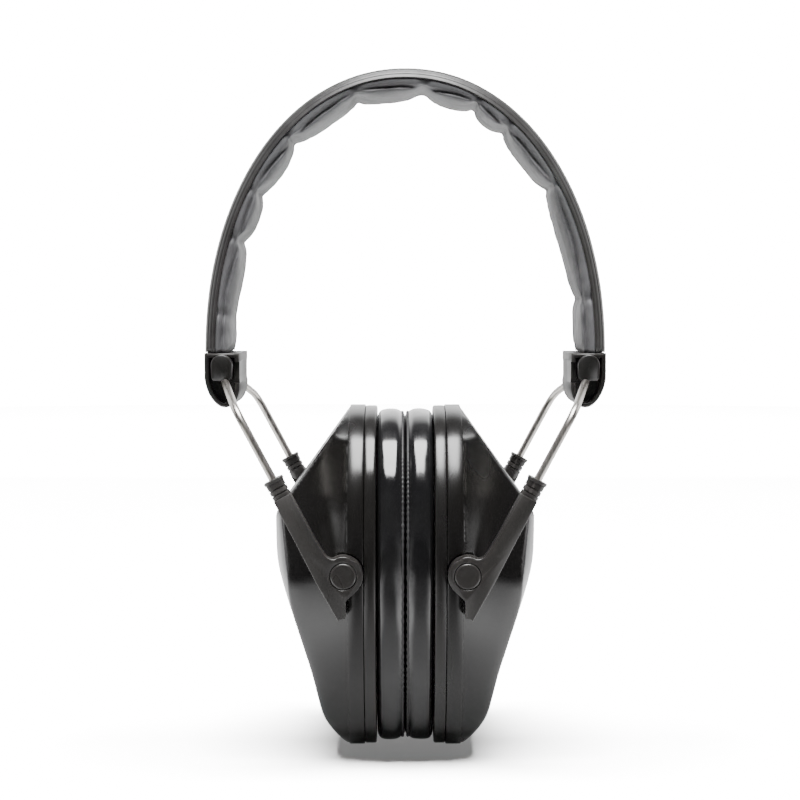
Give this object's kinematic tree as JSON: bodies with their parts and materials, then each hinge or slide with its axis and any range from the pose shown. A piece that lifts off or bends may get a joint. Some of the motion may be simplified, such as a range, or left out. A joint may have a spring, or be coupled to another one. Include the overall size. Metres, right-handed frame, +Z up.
{
  "type": "earmuff hearing protector",
  "caption": "Folding over-head earmuff: padded sprung headband, wire forks that fold and slide for height, and two hollow black cups with soft ear cushions.",
  "frame": {"origin": "centre of the footprint, on the surface that the two cups stand on", "axes": "+Z up towards the crown of the headband, +X towards the right-hand cup as seen from the front, -Y towards the front"},
  "size_m": [0.124, 0.0944, 0.2093],
  "materials": {
    "shell_plastic": "satin black, fine grain",
    "plate_plastic": "glossy black, fine grain",
    "arm_plastic": "matt black, fine grain",
    "cushion_vinyl": "glossy black vinyl over foam",
    "liner_foam": "open-cell dark grey foam",
    "steel_wire": "polished stainless wire",
    "spring_strip": "spring steel, brushed",
    "cover_vinyl": "soft black vinyl, satin",
    "pad_leatherette": "soft charcoal leatherette, folded"
  },
  "bodies": {
    "crown": {"crown_band_cover": "cover_vinyl", "crown_band_pad": "pad_leatherette", "crown_band_strip": "spring_strip"},
    "left_shoulder": {"left_shoulder_band_cover": "cover_vinyl", "left_shoulder_band_pad": "pad_leatherette", "left_shoulder_band_strip": "spring_strip"},
    "left_side": {"left_side_band_cover": "cover_vinyl", "left_side_band_pad": "pad_leatherette", "left_side_band_strip": "spring_strip", "left_end_cap": "arm_plastic", "left_hinge_block": "arm_plastic", "left_end_rivet": "spring_strip"},
    "left_fork": {"left_wire_fork": "steel_wire"},
    "left_arms": {"left_front_arm": "arm_plastic", "left_rear_arm": "arm_plastic"},
    "left_cup": {"left_cup_shell": "shell_plastic", "left_cushion_plate": "plate_plastic", "left_foam_liner": "liner_foam", "left_ear_cushion": "cushion_vinyl", "left_front_pin": "arm_plastic", "left_rear_pin": "arm_plastic"},
    "right_shoulder": {"right_shoulder_band_cover": "cover_vinyl", "right_shoulder_band_pad": "pad_leatherette", "right_shoulder_band_strip": "spring_strip"},
    "right_side": {"right_side_band_cover": "cover_vinyl", "right_side_band_pad": "pad_leatherette", "right_side_band_strip": "spring_strip", "right_end_cap": "arm_plastic", "right_hinge_block": "arm_plastic", "right_end_rivet": "spring_strip"},
    "right_fork": {"right_wire_fork": "steel_wire"},
    "right_arms": {"right_front_arm": "arm_plastic", "right_rear_arm": "arm_plastic"},
    "right_cup": {"right_cup_shell": "shell_plastic", "right_cushion_plate": "plate_plastic", "right_foam_liner": "liner_foam", "right_ear_cushion": "cushion_vinyl", "right_front_pin": "arm_plastic", "right_rear_pin": "arm_plastic"}
  },
  "joints": [
    {"name": "left_band_flex", "type": "hinge", "parent": "crown", "child": "left_shoulder", "pos_m": [-0.01, 0, 0.20835], "axis": [0, 1, 0], "range_deg": [0, 28]},
    {"name": "left_band_spread", "type": "hinge", "parent": "left_shoulder", "child": "left_side", "pos_m": [-0.036, 0, 0.19438], "axis": [0, 1, 0], "range_deg": [0, 28], "stiffness_Nm_per_rad": 1.2, "springref_deg": -8.59},
    {"name": "left_fold", "type": "hinge", "parent": "left_side", "child": "left_fork", "pos_m": [-0.056, 0, 0.1176], "axis": [0, -1, 0], "range_deg": [0, 80], "deforming": ["left_ear_cushion"]},
    {"name": "left_height", "type": "slide", "parent": "left_fork", "child": "left_arms", "axis": [-0.4726, 0, 0.8813], "range_m": [0, 0.017]},
    {"name": "left_cup_pivot", "type": "hinge", "parent": "left_arms", "child": "left_cup", "pos_m": [-0.0183, 0, 0.057], "axis": [0, 1, 0], "range_deg": [0, 52], "deforming": ["left_ear_cushion"]},
    {"name": "right_band_flex", "type": "hinge", "parent": "crown", "child": "right_shoulder", "pos_m": [0.01, 0, 0.20835], "axis": [0, -1, 0], "range_deg": [0, 28]},
    {"name": "right_band_spread", "type": "hinge", "parent": "right_shoulder", "child": "right_side", "pos_m": [0.036, 0, 0.19438], "axis": [0, -1, 0], "range_deg": [0, 28], "stiffness_Nm_per_rad": 1.2, "springref_deg": -8.59},
    {"name": "right_fold", "type": "hinge", "parent": "right_side", "child": "right_fork", "pos_m": [0.056, 0, 0.1176], "axis": [0, 1, 0], "range_deg": [0, 80], "deforming": ["right_ear_cushion"]},
    {"name": "right_height", "type": "slide", "parent": "right_fork", "child": "right_arms", "axis": [0.4726, 0, 0.8813], "range_m": [0, 0.017]},
    {"name": "right_cup_pivot", "type": "hinge", "parent": "right_arms", "child": "right_cup", "pos_m": [0.0183, 0, 0.057], "axis": [0, -1, 0], "range_deg": [0, 52], "deforming": ["right_ear_cushion"]}
  ],
  "couplings": [
    {"joint": "left_band_flex", "follows": "left_fold", "ratio": 0.35},
    {"joint": "right_band_flex", "follows": "left_fold", "ratio": 0.35},
    {"joint": "right_fold", "follows": "left_fold", "ratio": 1},
    {"joint": "left_cup_pivot", "follows": "left_fold", "ratio": 0.65},
    {"joint": "right_cup_pivot", "follows": "left_fold", "ratio": 0.65},
    {"joint": "right_band_spread", "follows": "left_band_spread", "ratio": 1}
  ]
}
